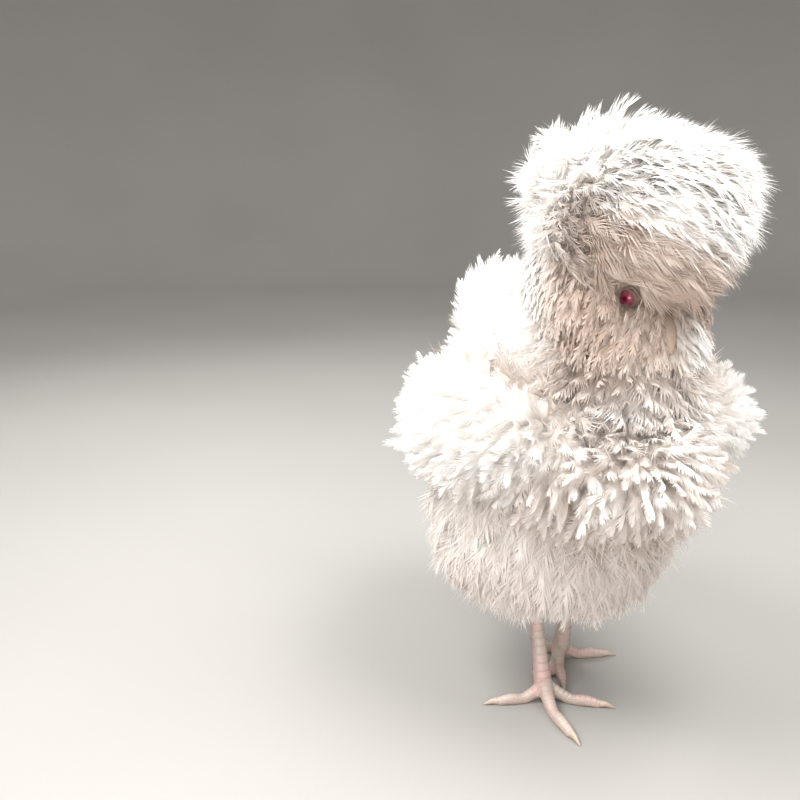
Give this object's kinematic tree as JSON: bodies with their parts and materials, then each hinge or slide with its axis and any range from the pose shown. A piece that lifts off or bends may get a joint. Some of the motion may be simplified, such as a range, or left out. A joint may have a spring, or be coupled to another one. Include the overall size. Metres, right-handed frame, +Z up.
{
  "type": "crested chicken model",
  "caption": "Life-size still model of a white, frizzle-feathered crested hen with a beard, caught in mid step on bare scaled legs.",
  "frame": {"origin": "on the ground, under the middle of the model's bounding box", "axes": "+Z up, the hen's body faces -Y and its left side is at +X"},
  "size_m": [0.189, 0.281, 0.3531],
  "materials": {
    "feather_white": "soft matt plumage",
    "face_skin": "matt bare skin",
    "comb_red": "soft red skin",
    "eye": "wet gloss",
    "bill_horn": "satin horn",
    "leg_skin": "scaled skin",
    "claw_horn": "satin horn"
  },
  "bodies": {
    "root": {"torso": "feather_white", "neck": "feather_white", "crest": "feather_white", "beard": "feather_white", "wing_left": "feather_white", "wing_right": "feather_white", "tail": "feather_white", "thigh_left": "feather_white", "thigh_right": "feather_white", "head": "face_skin", "comb": "comb_red", "eye_left": "eye", "eye_right": "eye", "beak_upper": "bill_horn", "beak_lower": "bill_horn", "shank_left": "leg_skin", "shank_right": "leg_skin", "foot_left": "leg_skin", "foot_right": "leg_skin", "claw_left_inner": "claw_horn", "claw_left_middle": "claw_horn", "claw_left_outer": "claw_horn", "claw_left_hind": "claw_horn", "claw_right_inner": "claw_horn", "claw_right_middle": "claw_horn", "claw_right_outer": "claw_horn", "claw_right_hind": "claw_horn"}
  },
  "joints": []
}
